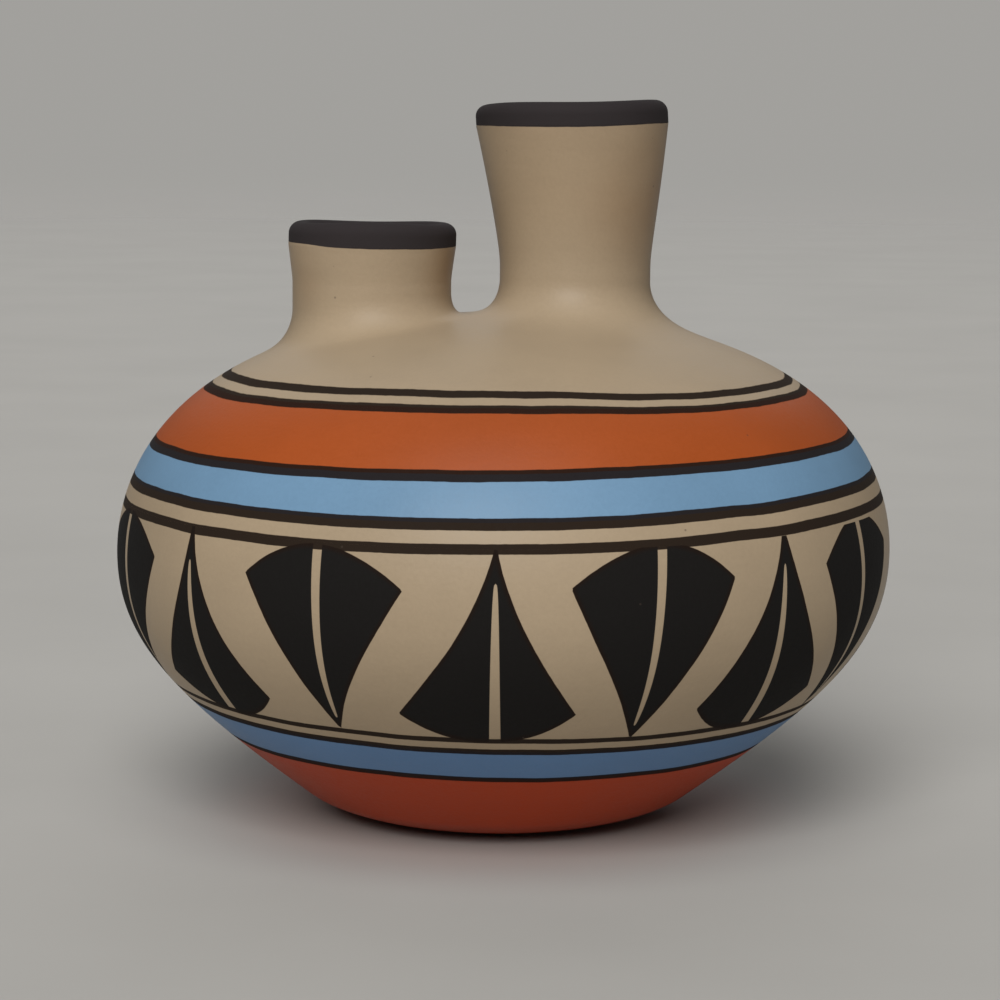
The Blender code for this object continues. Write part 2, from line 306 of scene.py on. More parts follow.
def painted_level(points):
    """Height less tilt times x, less bow times cos 2a, plus sag times a bell round the sag's angle.

    Tilt, bow and sag are read between the lines at that level, so the level is found in a few passes.
    """
    middles = [middle_of(line) for line in LINES]
    tilts, bows, sags = list(zip(*LINES))[2:]
    angle = np.arctan2(points[:, 0], -points[:, 1])
    bow_shape = np.cos(2 * angle)
    sag_shape = np.exp(-(((angle - SAG_ANGLE) / SAG_WIDTH) ** 2))
    level = points[:, 2]
    for _ in range(LEVEL_PASSES):
        tilt, bow, sag = (np.interp(level, middles, amounts) for amounts in (tilts, bows, sags))
        level = points[:, 2] - tilt * points[:, 0] - bow * bow_shape + sag * sag_shape
    return level


print("painted lines:", len(LINES))

# %% [markdown]
# ## Closed shells from grids
# Every piece is a closed shell of clay, with an outside, an inside and joint faces. For most of them a
# section of radii and heights is carried round an axis, which makes one grid that closes on itself both
# ways. Neighbours keep a hairline gap, so that their faces never touch.

# %% Closed shells from grids
HAIRLINE = 0.004


def grid_numbers(rows, columns):
    """Row and column of each point of a grid, row after row."""
    return (part.ravel() for part in np.meshgrid(np.arange(rows), np.arange(columns), indexing="ij"))


def grid_quads(rows, columns):
    """Corner numbers of a grid that closes both ways: each point, the next in its row, and the two above."""
    row, column = grid_numbers(rows, columns)
    row_above = (row + 1) % rows
    next_column = (column + 1) % columns
    corners = (row * columns + column, row * columns + next_column)
    corners += (row_above * columns + next_column, row_above * columns + column)
    return np.column_stack(corners)


def carry_round(section, columns):
    """Takes each point (r, h) of a section to (r sin a, -r cos a, h).

    The angle a goes from the back, past the front, to the back again.
    """
    turn = np.linspace(-np.pi, np.pi, columns, endpoint=False)
    radius, height = section[:, :1], section[:, 1:]
    rounds = np.stack([radius * np.sin(turn), -radius * np.cos(turn), height + 0 * turn], axis=2)
    return rounds.reshape(-1, 3)


print("gap between pieces in millimetres:", HAIRLINE)

# %% [markdown]
# ## From a grid to a piece
# Joint faces and insides are marked as raw clay. Most pieces also get a map of long strips, which keeps
# the painted edges crisp when the colours are baked. Edges sharper than a set angle stay sharp, and the
# rest is shaded smooth.

# %% From a grid to a piece
SHARP_ANGLE = math.radians(40)
OUTSIDE_SHARE = 0.8
STRIP_TOP = 0.98


def strip_map(outside_rows, rows, columns, strips):
    """Lays the grid out as stacked strips: u runs round each strip, v up the outside and then the inside."""
    outside_v = np.linspace(0, OUTSIDE_SHARE, outside_rows)
    inside_v = np.linspace(OUTSIDE_SHARE, STRIP_TOP, rows - outside_rows + 2)[1:]
    row_v = np.concatenate([outside_v, inside_v])
    row, column = grid_numbers(rows, columns)
    per_strip = columns // strips
    strip = column // per_strip
    left = (column % per_strip) / per_strip
    right = left + 1 / per_strip
    low = (strip + row_v[row]) / strips
    high = (strip + row_v[row + 1]) / strips
    corners = [np.column_stack(pair) for pair in ((left, low), (right, low), (right, high), (left, high))]
    return np.stack(corners, axis=1)


def make_piece(name, points, faces, raw, finish, values, bake_map=None):
    """Makes the mesh of one piece in metres, with its two finishes, its stored values and its bake map."""
    mesh = bpy.data.meshes.new(name)
    mesh.from_pydata(points * MM, [], faces)
    mesh.materials.append(finish)
    mesh.materials.append(bpy.data.materials["raw_clay"])
    mesh.polygons.foreach_set("material_index", np.asarray(raw, np.int32))
    for value_name, numbers in values.items():
        stored = mesh.attributes.new(value_name, "FLOAT", "POINT")
        stored.data.foreach_set("value", np.asarray(numbers, np.float32))
    if bake_map is not None:
        mesh.uv_layers.new(name="OFBake").data.foreach_set("uv", bake_map.astype(np.float32).ravel())
    mesh.shade_smooth()
    mesh.set_sharp_from_angle(angle=SHARP_ANGLE)
    mesh.validate()
    piece = bpy.data.objects.new(name + "_painted", mesh)
    scene.collection.objects.link(piece)
    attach(piece, "root")
    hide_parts(name)
    print(name, len(points), "points,", len(faces), "faces")


print("outsides take", OUTSIDE_SHARE, "of a map")

# %% [markdown]
# ## Slip: what all the colours share
# Slip is liquid clay, brushed on and rubbed with a smooth stone. Up close the colour is never even: it has
# soft clouds, faint strokes that run round the pot, and a few dark grains. One node group gives all of
# that, so every colour on the vase has the same grain.

# %% Slip: what all the colours share
COLOUR = "NodeSocketColor"
NUMBER = "NodeSocketFloat"
BROAD_PATCHES = {"scale": 26, "detail": 4, "roughness": 0.55}
BROAD_ROUGHNESS = 0.25
STROKE_PATCHES = {"scale": 45, "detail": 3}
STROKE_SQUEEZE = (1, 1, 9)
STROKE_SHADE = 0.05
STROKE_HEIGHT = 0.35
FINE_PATCHES = {"scale": 1100}
FINE_SHADE = 0.10
FINE_ROUGHNESS = 0.15
FINE_HEIGHT = 0.3
GRAIN_CELLS = 210
EMPTY_CELLS = 0.80
LARGEST_GRAIN = 0.085
GRAIN_EDGE = 0.03
GRAIN_COLOUR = (0.055, 0.04, 0.03, 1)
GRAIN_HEIGHT = 0.3


def new_group(name, inputs, outputs):
    """An empty node group with named sockets; each is a name and a socket type."""
    group = bpy.data.node_groups.new(name, "ShaderNodeTree")
    for in_out, sockets in (("INPUT", inputs), ("OUTPUT", outputs)):
        for socket_name, kind in sockets:
            group.interface.new_socket(socket_name, in_out=in_out, socket_type=kind)
    return group, group.nodes.new("NodeGroupInput").outputs, group.nodes.new("NodeGroupOutput").inputs


def use_group(tree, group, inputs=None):
    """Places a node group in a material."""
    return add_node(tree, "ShaderNodeGroup", inputs, node_tree=group).outputs


def swing(tree, place, patches):
    """Soft noise around zero."""
    return calculate(tree, "SUBTRACT", cloud(tree, place, **patches), 0.5)


def weighted_sum(tree, start, *pairs):
    """A start value plus each value times its weight."""
    total = start
    for value, weight in pairs:
        total = calculate(tree, "ADD", total, calculate(tree, "MULTIPLY", value, weight))
    return total


def build_slip_grain():
    """Colour with clouds, strokes and grains; roughness and height that vary with them."""
    inputs = (("Color", COLOUR), ("Clouds", NUMBER), ("Grains", NUMBER), ("Roughness", NUMBER))
    outputs = (("Color", COLOUR), ("Roughness", NUMBER), ("Height", NUMBER))
    group, given, result = new_group("slip_grain", inputs, outputs)
    place = object_place(group)
    squeezed = add_node(group, "ShaderNodeMapping", {"Vector": place, "Scale": STROKE_SQUEEZE})
    broad = swing(group, place, BROAD_PATCHES)
    strokes = swing(group, squeezed.outputs["Vector"], STROKE_PATCHES)
    fine = swing(group, place, FINE_PATCHES)
    shade = weighted_sum(group, 1.0, (broad, given["Clouds"]), (strokes, STROKE_SHADE), (fine, FINE_SHADE))
    shaded = blend(group, 1.0, given["Color"], shade, "MULTIPLY")
    cells = add_node(group, "ShaderNodeTexVoronoi", {"Vector": place, "Scale": GRAIN_CELLS})
    chance = add_node(group, "ShaderNodeSeparateColor", {"Color": cells.outputs["Color"]}).outputs["Red"]
    size = remap(group, chance, EMPTY_CELLS, 1.0, 0.0, LARGEST_GRAIN)
    inside = calculate(group, "SUBTRACT", size, cells.outputs["Distance"])
    grain = calculate(group, "MULTIPLY", remap(group, inside, 0.0, GRAIN_EDGE, 0.0, 1.0), given["Grains"])
    group.links.new(blend(group, grain, shaded, GRAIN_COLOUR), result["Color"])
    rough = weighted_sum(group, given["Roughness"], (broad, BROAD_ROUGHNESS), (fine, FINE_ROUGHNESS))
    group.links.new(rough, result["Roughness"])
    height = weighted_sum(group, 0.0, (strokes, STROKE_HEIGHT), (fine, FINE_HEIGHT), (grain, -GRAIN_HEIGHT))
    group.links.new(height, result["Height"])
    return group


slip_grain = build_slip_grain()
print("node group:", slip_grain.name)

# %% [markdown]
# ## The painter's hand
# No brush follows a line exactly. A second group gives the stray of every painted edge, so all edges have
# the same hand.

# %% The painter's hand
WAVER_PATCHES = {"scale": 55, "detail": 1}
WAVER_STRAY = 0.65
TREMBLE_PATCHES = {"scale": 480}
TREMBLE_STRAY = 0.14


def build_painters_hand():
    """Stray of a painted edge in millimetres: a slow waver of the brush and a fine tremble."""
    group, _, result = new_group("painters_hand", (), [("Stray", NUMBER)])
    place = object_place(group)
    waver = swing(group, place, WAVER_PATCHES)
    tremble = swing(group, place, TREMBLE_PATCHES)
    stray = weighted_sum(group, 0.0, (waver, WAVER_STRAY), (tremble, TREMBLE_STRAY))
    group.links.new(stray, result["Stray"])
    return group


painters_hand = build_painters_hand()
print("node group:", painters_hand.name)

# %% [markdown]
# ## The colours of the slip
# Four clays were used: a pale tan that covers the whole pot, a terracotta red, a light blue, and a
# brown-black for lines and feathers. The red and the blue near the foot are deeper, and the tan of the
# necks is a little warmer. The bands of colour change under a black line, as on the pot, where the line
# hides the change; a band names the line that it starts under, counted from 0 at the foot. A colour ramp
# gives the bands, but its steps are too coarse for the edges of the lines, so those are worked out as a
# depth.

# %% The colours of the slip
TAN = (0.380, 0.289, 0.190, 1)
NECK_TAN = (0.374, 0.277, 0.177, 1)
# Brown of the painted shade on the necks.
SHADED_TAN = (0.270, 0.165, 0.085, 1)
TERRACOTTA = (0.365, 0.074, 0.0140, 1)
FOOT_RED = (0.41, 0.0430, 0.0045, 1)
BLUE = (0.158, 0.282, 0.420, 1)
LOW_BLUE = (0.111, 0.218, 0.398, 1)
THICK_BLACK = (0.0074, 0.0062, 0.0054, 1)
THIN_BLACK = (0.0105, 0.0042, 0.0016, 1)
# The lip's black is lighter than the feathers': its own black plus a painted sheen on its up-facing top.
LIP_BLACK_AND_SHEEN = (0.0290, 0.0235, 0.0240, 1)
BANDS = ((0, LOW_BLUE), (1, TAN), (4, BLUE), (5, TERRACOTTA), (6, TAN))
LEVEL_SPAN = 120.0


def band_colour(tree, level):
    """The clay of each band: the foot's red, then each band from the middle of the line it starts under.

    The ramp covers the levels from 0 to the level span.
    """
    made = add_node(tree, "ShaderNodeValToRGB", {"Fac": calculate(tree, "DIVIDE", level, LEVEL_SPAN)})
    made.color_ramp.interpolation = "CONSTANT"
    elements = made.color_ramp.elements
    elements.remove(elements[1])
    elements[0].color = FOOT_RED
    for line, colour in BANDS:
        elements.new(middle_of(LINES[line]) / LEVEL_SPAN).color = colour
    return made.outputs["Color"]


def line_depth(tree, level):
    """How deep a level lies inside the nearest line: half the line's width, less the way to its middle."""
    deepest = -LEVEL_SPAN
    for line in LINES:
        away = calculate(tree, "ABSOLUTE", calculate(tree, "SUBTRACT", level, middle_of(line)))
        depth = calculate(tree, "SUBTRACT", (line.top - line.bottom) / 2, away)
        deepest = calculate(tree, "MAXIMUM", depth, deepest)
    return deepest


print("bands change under", len(BANDS), "of the lines")

# %% [markdown]
# ## What the finishes share
# Burnished slip is satin and the black is dull. A painted edge is as sharp as a brush leaves it, and a
# little of the clay shows through the lines. Soft brown patches of painted shade darken the sides of the
# necks. They lie on the necks and fade out towards the crown, so two finishes need them.

# %% What the finishes share
SATIN = 0.44
DULL = 0.9
SPECULAR = 0.20
SLIP_CLOUDS = 0.30
SLIP_GRAINS = 0.5
SLIP_RELIEF = 0.12
EDGE_SOFTNESS = 0.06
SHOW_THROUGH = 0.026
# Patches of painted shade on the necks: each has its middle in millimetres, the reach over which it fades,
# and its strength.
ShadePatch = namedtuple("ShadePatch", "x y z reach strength")
NECK_SHADE_PATCHES = (
    ShadePatch(-12.5, -8.0, 127.0, reach=12.0, strength=0.60),
    ShadePatch(-48.0, -10.0, 124.0, reach=12.0, strength=0.35),
    ShadePatch(34.0, -8.0, 142.0, reach=26.0, strength=0.64),
)
SHADE_NOISE_PATCHES = {"scale": 70, "detail": 3}
SHADE_NOISE_RANGE = (0.35, 0.65)
FAINTEST_SHADE = 0.6


def slip_surface(tree, shader, grain_inputs, relief):
    """Feeds the grain's colour, roughness and height to the shader; relief is its height in millimetres."""
    grain = use_group(tree, slip_grain, grain_inputs)
    tree.links.new(grain["Color"], shader.inputs["Base Color"])
    tree.links.new(grain["Roughness"], shader.inputs["Roughness"])
    bump_inputs = {"Height": grain["Height"], "Strength": 1.0, "Distance": relief * MM}
    bump = add_node(tree, "ShaderNodeBump", bump_inputs)
    tree.links.new(bump.outputs["Normal"], shader.inputs["Normal"])
    shader.inputs["Specular IOR Level"].default_value = SPECULAR


def paint(tree, shader, colour, black):
    """Finishes painted slip: satin where it is burnished, dull where the black mask is."""
    roughness = remap(tree, black, 0.0, 1.0, SATIN, DULL)
    grain_inputs = {"Color": colour, "Clouds": SLIP_CLOUDS, "Grains": SLIP_GRAINS, "Roughness": roughness}
    slip_surface(tree, shader, grain_inputs, SLIP_RELIEF)


def painted_edge(tree, depth):
    """1 inside a painted shape and 0 outside it, with a soft step where the depth is 0."""
    return remap(tree, depth, -EDGE_SOFTNESS, EDGE_SOFTNESS, 0.0, 1.0)


def bands_and_lines(tree, stray):
    """Colour of the bands with the black lines on top, and the mask of the lines."""
    level = calculate(tree, "ADD", surface_value(tree, "painted_level"), stray)
    lines = painted_edge(tree, line_depth(tree, level))
    cover = calculate(tree, "MULTIPLY", lines, 1 - SHOW_THROUGH)
    return blend(tree, cover, band_colour(tree, level), THIN_BLACK), lines


def with_painted_shade(tree, place, clay):
    """The clay with its painted shade: brown in the middle of each patch, nothing beyond its reach, and
    patchy.
    """
    brown = 0.0
    for spot in NECK_SHADE_PATCHES:
        middle = (spot.x * MM, spot.y * MM, spot.z * MM)
        away = add_node(tree, "ShaderNodeVectorMath", {0: place, 1: middle}, operation="DISTANCE")
        reach = spot.reach * MM
        share = remap(tree, away.outputs["Value"], 0.0, reach, spot.strength, 0.0, smooth=True)
        brown = calculate(tree, "MAXIMUM", share, brown)
    shade_noise = cloud(tree, place, **SHADE_NOISE_PATCHES)
    shade_mottle = remap(tree, shade_noise, *SHADE_NOISE_RANGE, FAINTEST_SHADE, 1.0)
    return blend(tree, calculate(tree, "MULTIPLY", shade_mottle, brown), clay, SHADED_TAN)


# Counts the patches of painted shade on the necks.
print("fire clouds:", len(NECK_SHADE_PATCHES))

# %% [markdown]
# ## Finishes
# Three finishes cover the outside. The banded one reads the level and adds the outer ends of the painted
# shade on the necks. The frieze adds the feathers, whose depth inside the black and whose quills are stored
# on the mesh; their black is thinner along the edge. The spout finish adds the painted shade and paints the
# lip black above a wavering edge, in a lighter black that is partly a painted sheen. Raw clay shows inside
# the mouths.

# %% Finishes
THICK_DEPTH = 1.3
NECK_BLEND = (126 * MM, 146 * MM)
RAW_COLOUR = (0.24, 0.155, 0.09, 1)
RAW_CLOUDS = 0.5
RAW_GRAINS = 0.8
RAW_ROUGHNESS = 0.85
RAW_RELIEF = 0.3


def build_banded(name):
    """Bands of colour and black lines, with the outer ends of the painted shade from the necks."""
    material, tree, shader = new_finish(name)
    stray = use_group(tree, painters_hand)["Stray"]
    colour, lines = bands_and_lines(tree, stray)
    paint(tree, shader, with_painted_shade(tree, object_place(tree), colour), lines)
    return material


def build_frieze(name):
    """Bands and lines with black feathers on top, each left bare along its quill."""
    material, tree, shader = new_finish(name)
    stray = use_group(tree, painters_hand)["Stray"]
    depth = calculate(tree, "ADD", surface_value(tree, "feather_depth"), stray)
    across = calculate(tree, "ABSOLUTE", surface_value(tree, "quill_across"))
    quill_depth = calculate(tree, "SUBTRACT", surface_value(tree, "quill_half"), across)
    beside_quill = calculate(tree, "SUBTRACT", 1.0, painted_edge(tree, quill_depth))
    black = calculate(tree, "MULTIPLY", painted_edge(tree, depth), beside_quill)
    thickness = remap(tree, depth, 0.0, THICK_DEPTH, 0.0, 1.0, smooth=True)
    black_colour = blend(tree, thickness, THIN_BLACK, THICK_BLACK)
    bands, lines = bands_and_lines(tree, stray)
    colour = blend(tree, black, bands, black_colour)
    paint(tree, shader, colour, calculate(tree, "MAXIMUM", black, lines))
    return material


def build_spout(name):
    """Tan that turns a little warmer up the neck, with patches of painted shade, under a lip whose black is
    partly a painted sheen.
    """
    material, tree, shader = new_finish(name)
    stray = use_group(tree, painters_hand)["Stray"]
    lip = painted_edge(tree, calculate(tree, "ADD", surface_value(tree, "over_lip_edge"), stray))
    place = object_place(tree)
    height = add_node(tree, "ShaderNodeSeparateXYZ", {"Vector": place}).outputs["Z"]
    warm = remap(tree, height, *NECK_BLEND, 0.0, 1.0, smooth=True)
    clay = with_painted_shade(tree, place, blend(tree, warm, TAN, NECK_TAN))
    paint(tree, shader, blend(tree, lip, clay, LIP_BLACK_AND_SHEEN), lip)
    return material


def build_raw_clay(name):
    """Unpainted clay: browner, rougher and more grainy than the slip."""
    material, tree, shader = new_finish(name)
    grain_inputs = {"Color": RAW_COLOUR, "Clouds": RAW_CLOUDS, "Grains": RAW_GRAINS}
    grain_inputs["Roughness"] = RAW_ROUGHNESS
    slip_surface(tree, shader, grain_inputs, RAW_RELIEF)
    return material


banded = build_banded("banded_slip")
frieze = build_frieze("feather_frieze")
spout_slip = build_spout("spout_slip")
raw_clay = build_raw_clay("raw_clay")
print("finishes:", banded.name, frieze.name, spout_slip.name, raw_clay.name)

# %% [markdown]
# ## The painter's feathers
# Sixteen feathers stand side by side between two lines, hanging and upright in turn. The painter set them
# out by eye, so the seven in front each have their own numbers: angles in degrees round the pot, the reach
# of each side in degrees, and how far sides, wide end and quill bend. The nine behind are spaced evenly
# with small sways.

# %% The painter's feathers
Feather = namedtuple("Feather", "angle lean left right left_bow right_bow roll quill_lean quill_bow")
FRONT_FEATHERS = (
    Feather(-72.0, -2.0, 12.3, 13.5, 0.30, 0.48, 0.0, 1.8, 0.5),
    Feather(-49.6, 0.0, 12.4, 11.9, -0.95, -0.36, -0.7, 0.0, 0.6),
    Feather(-26.3, 0.0, 11.3, 13.0, -0.15, -0.06, -1.0, 0.2, 0.3),
    Feather(-1.1, 0.0, 14.0, 12.7, -0.58, -0.60, 0.5, 0.4, 0.0),
    Feather(22.0, -0.3, 12.8, 11.3, 0.23, 0.13, 0.1, -0.5, -0.3),
    Feather(42.8, 0.3, 11.6, 14.0, -0.23, -0.66, 0.35, 2.4, -1.5),
    Feather(62.3, 1.7, 11.2, 11.6, 0.15, 0.40, 0.4, 3.2, -0.3),
)
FEATHER_COUNT = 16
EVEN_REACH = 12.3
UPRIGHT_BOW = -0.45
HANGING_BOW = 0.15
HAND_SWAY = 0.7
SWAY_SPEEDS = (2.1, 1.3, 1.7, 2.7, 1.9)


def all_feathers():
    """Every feather's numbers, one array for each name in Feather.

    The unseen ones are spaced evenly, and sines of their number stand for the painter's unevenness.
    """
    first, last = FRONT_FEATHERS[0], FRONT_FEATHERS[-1]
    unseen = FEATHER_COUNT - len(FRONT_FEATHERS)
    number = np.arange(unseen)
    sways = [HAND_SWAY * np.sin(speed * number + 1) for speed in SWAY_SPEEDS]
    angle_sway, left_sway, right_sway, roll_sway, quill_sway = sways
    angle = np.linspace(last.angle, first.angle + 360, unseen + 2)[1:-1] + angle_sway
    left, right = EVEN_REACH + left_sway, EVEN_REACH + right_sway
    bow = np.where(number % 2 == 0, UPRIGHT_BOW, HANGING_BOW)
    straight = np.zeros(unseen)
    even = Feather(angle, straight, left, right, bow, bow, roll_sway, quill_sway, straight)
    return Feather(*np.concatenate([np.array(FRONT_FEATHERS).T, np.array(even)], axis=1))


print("feathers:", len(all_feathers().angle))

# %% [markdown]
# ## The shape of a feather
# A feather is a fan: its two sides widen from the tip to the corners as a quadratic in height, and an arc
# closes the wide end. A thin quill is left bare down its middle. A feather is stored as its depth, which
# is the distance inside its edge, and not as a picture, so its edge stays sharp at any size.

# %% The shape of a feather
FRIEZE_BOTTOM = 31.7
FRIEZE_TOP = 73.0
UPRIGHT_CORNER = 38.0
UPRIGHT_ARC = 6.7
UPRIGHT_FULLNESS = 2.5
UPRIGHT_TIP_SHARE = 0.035
UPRIGHT_QUILL = 1.2
UPRIGHT_QUILL_TIP = FRIEZE_TOP - 5.5
HANGING_CORNER = 66.2
HANGING_ARC = 8.0
HANGING_FULLNESS = 2.0
HANGING_QUILL = 1.06
HANGING_QUILL_TIP = FRIEZE_BOTTOM + 3.2
SIDE_SLANT = 0.9
END_SLANT = 0.85
DEEPEST_STORED = 6


def turn_from(start, angle):
    """Degrees from one angle to another, the shorter way round."""
    return (angle - start + 180) % 360 - 180


def feather_depth(feathers, upright, across, height, degree_width):
    """Depth inside each feather, from its sides or from its wide end, whichever is nearer.

    Half width at t, from 0 at the tip to 1 at the corners: reach times (t + bow t (1 - t)), and a little
    more at an upright tip. The wide end bulges over the corners by arc times (1 - u^fullness), u from 0 in
    the middle to 1 at a corner, and roll lifts it on the right and drops it on the left. The slants turn
    distances straight across or straight up into distances square to the edge.
    """
    reach = np.where(across < 0, feathers.left, feathers.right)
    bow = np.where(across < 0, feathers.left_bow, feathers.right_bow)
    from_top = (FRIEZE_TOP - height) / (FRIEZE_TOP - UPRIGHT_CORNER)
    from_bottom = (height - FRIEZE_BOTTOM) / (HANGING_CORNER - FRIEZE_BOTTOM)
    from_tip = np.where(upright, from_top, from_bottom)
    blunt = np.where(upright, UPRIGHT_TIP_SHARE, 0)
    width = blunt + (1 - blunt) * (from_tip + bow * from_tip * (1 - from_tip))
    side = (reach * width - abs(across)) * degree_width * SIDE_SLANT
    arc = 1 - abs(across / reach) ** np.where(upright, UPRIGHT_FULLNESS, HANGING_FULLNESS)
    roll = feathers.roll * np.clip(across / reach, -1, 1)
    upright_end = height - (UPRIGHT_CORNER + roll - UPRIGHT_ARC * arc)
    hanging_end = HANGING_CORNER + roll + HANGING_ARC * arc - height
    end = np.where(upright, upright_end, hanging_end) * END_SLANT
    return np.clip(np.minimum(side, end), -DEEPEST_STORED, DEEPEST_STORED)


def quill_half_width(upright, height):
    """Half width of each quill, which grows as the cube root of the way from its tip."""
    upright_run = (UPRIGHT_QUILL_TIP - height) / (UPRIGHT_QUILL_TIP - FRIEZE_BOTTOM)
    hanging_run = (height - HANGING_QUILL_TIP) / (FRIEZE_TOP - HANGING_QUILL_TIP)
    return np.where(upright, UPRIGHT_QUILL * np.cbrt(upright_run), HANGING_QUILL * np.cbrt(hanging_run))


def frieze_values(points, level):
    """Depth inside the nearest feather, and offset and half width of its quill, all in millimetres."""
    feathers = all_feathers()
    upright = np.arange(FEATHER_COUNT) % 2 == 1
    from_axis = points[:, 0] - LEAN * (points[:, 2] - BELLY_HEIGHT)
    angle = np.degrees(np.arctan2(from_axis, -points[:, 1]))[:, None]
    degree_width = np.radians(np.hypot(from_axis, points[:, 1]))[:, None]
    height = level[:, None]
    fall = (FRIEZE_TOP - height) / (FRIEZE_TOP - FRIEZE_BOTTOM)
    across = turn_from(feathers.angle + feathers.lean * fall, angle)
    quill_bend = feathers.quill_lean * fall + feathers.quill_bow * 4 * fall * (1 - fall)
    quill_across = turn_from(feathers.angle + quill_bend, angle) * degree_width
    depth = feather_depth(feathers, upright, across, height, degree_width)
    values = {"feather_depth": depth, "quill_across": quill_across}
    values["quill_half"] = quill_half_width(upright, height)
    nearest = depth.argmax(axis=1)[:, None]
    return {name: np.take_along_axis(value, nearest, axis=1)[:, 0] for name, value in values.items()}


print("frieze height in millimetres:", round(FRIEZE_TOP - FRIEZE_BOTTOM, 1))

# %% [markdown]
# ## Courses of the body
# The bowl, the belly and the shoulder are rings of clay that the potter joined one on another with a
# slanting lap. The joints lie under painted lines, so they don't show. The belly has the finest grid,
# because the feathers' edges are drawn by the values on its points.

# %% Courses of the body
JOINT_LAP = 3.0
FOOT_JOINT = along_at(2.8)
BOWL_JOINT = along_at(28.3)
SHOULDER_JOINT = along_at(73.9)
CROWN_JOINT = along_at(100.2)
COURSE_INSIDE_ROWS = 10


def turned_piece(name, outside, inside, columns, strips, finish, slot, settle, extra_values=None):
    """Carries a closed section round its axis, settles it in place and makes the piece."""
    section = np.concatenate([outside, inside])
    points = settle(carry_round(section, columns))
    faces = grid_quads(len(section), columns)
    raw = faces[:, 0] // columns >= len(outside) - 1
    values = {"painted_level": painted_level(points)}
    if extra_values:
        values.update(extra_values(points, values["painted_level"]))
    bake_map = strip_map(len(outside), len(section), columns, strips)
    make_piece(name, points, faces, raw, finish, values, bake_map)


def course(name, lower, upper, rows, columns, strips, finish, slot, extra_values=None):
    """One course of wall between two joints, with its joint faces slanting up towards the inside."""
    start = lower + HAIRLINE
    outside = points_along(OUTER, start, upper, rows)
    inside = points_along(INNER, upper + JOINT_LAP, start + JOINT_LAP, COURSE_INSIDE_ROWS)
    turned_piece(name, outside, inside, columns, strips, finish, slot, lean, extra_values)


bowl_grid = {"rows": 56, "columns": 480, "strips": 2}
belly_grid = {"rows": 84, "columns": 840, "strips": 3}
shoulder_grid = {"rows": 64, "columns": 600, "strips": 3}
banded_look = {"finish": banded, "slot": "terracotta_slip"}
frieze_look = {"finish": frieze, "slot": "tan_slip", "extra_values": frieze_values}
course("lower_bowl", FOOT_JOINT, BOWL_JOINT, **bowl_grid, **banded_look)
course("belly_ring", BOWL_JOINT, SHOULDER_JOINT, **belly_grid, **frieze_look)
course("shoulder_ring", SHOULDER_JOINT, CROWN_JOINT, **shoulder_grid, **banded_look)

# %% [markdown]
# ## The foot
# The foot is a flat disc whose edge turns up to meet the bowl. Its section starts and ends close to the
# axis, so the grid is left open there and a fan of triangles closes the middle, above and below.

# %% The foot
FOOT_COLUMNS = 240
FAN_RADIUS = 2
UNDERSIDE_ROWS = 11
RIM_OUTSIDE_ROWS = 24
RIM_INSIDE_ROWS = 12
INSIDE_FLOOR_ROWS = 7
underside = np.linspace((FAN_RADIUS, 0), (FOOT_RADIUS, 0), UNDERSIDE_ROWS + 1)[:-1]
rim_outside = points_along(OUTER, 0, FOOT_JOINT, RIM_OUTSIDE_ROWS)
rim_inside = points_along(INNER, FOOT_JOINT + JOINT_LAP, 0, RIM_INSIDE_ROWS)
inside_floor = np.linspace((FOOT_RADIUS, WALL), (FAN_RADIUS, WALL), INSIDE_FLOOR_ROWS + 1)[1:]
foot_section = np.concatenate([underside, rim_outside, rim_inside, inside_floor])
ring_points = carry_round(foot_section, FOOT_COLUMNS)
foot_points = lean(np.concatenate([ring_points, [(0, 0, 0), (0, 0, WALL)]]))
bottom_ring = np.arange(FOOT_COLUMNS)
next_in_ring = (bottom_ring + 1) % FOOT_COLUMNS
top_ring = (len(foot_section) - 1) * FOOT_COLUMNS
bottom_centre = np.full(FOOT_COLUMNS, len(ring_points))
foot_quads = grid_quads(len(foot_section), FOOT_COLUMNS)[:top_ring]
bottom_fan = np.column_stack([bottom_centre, next_in_ring, bottom_ring])
top_fan = np.column_stack([bottom_centre + 1, top_ring + bottom_ring, top_ring + next_in_ring])
foot_faces = foot_quads.tolist() + bottom_fan.tolist() + top_fan.tolist()
outside_faces = (len(underside) + len(rim_outside) - 1) * FOOT_COLUMNS
foot_raw = np.arange(len(foot_faces)) >= outside_faces
foot_raw[len(foot_quads) : len(foot_quads) + FOOT_COLUMNS] = False
foot_values = {"painted_level": painted_level(foot_points)}
make_piece("foot_disc", foot_points, foot_faces, foot_raw, banded, foot_values)

# %% [markdown]
# ## The spouts and the crown's surface
# The two necks rise out of the dome. Round each neck the dome is lifted by a flare, which leaves the dome
# very gently and ends upright at the neck's wall; it is narrow in the valley between the necks and wide on
# the outer side. The crown is that one smooth surface, from the joint with the shoulder up to both
# collars.

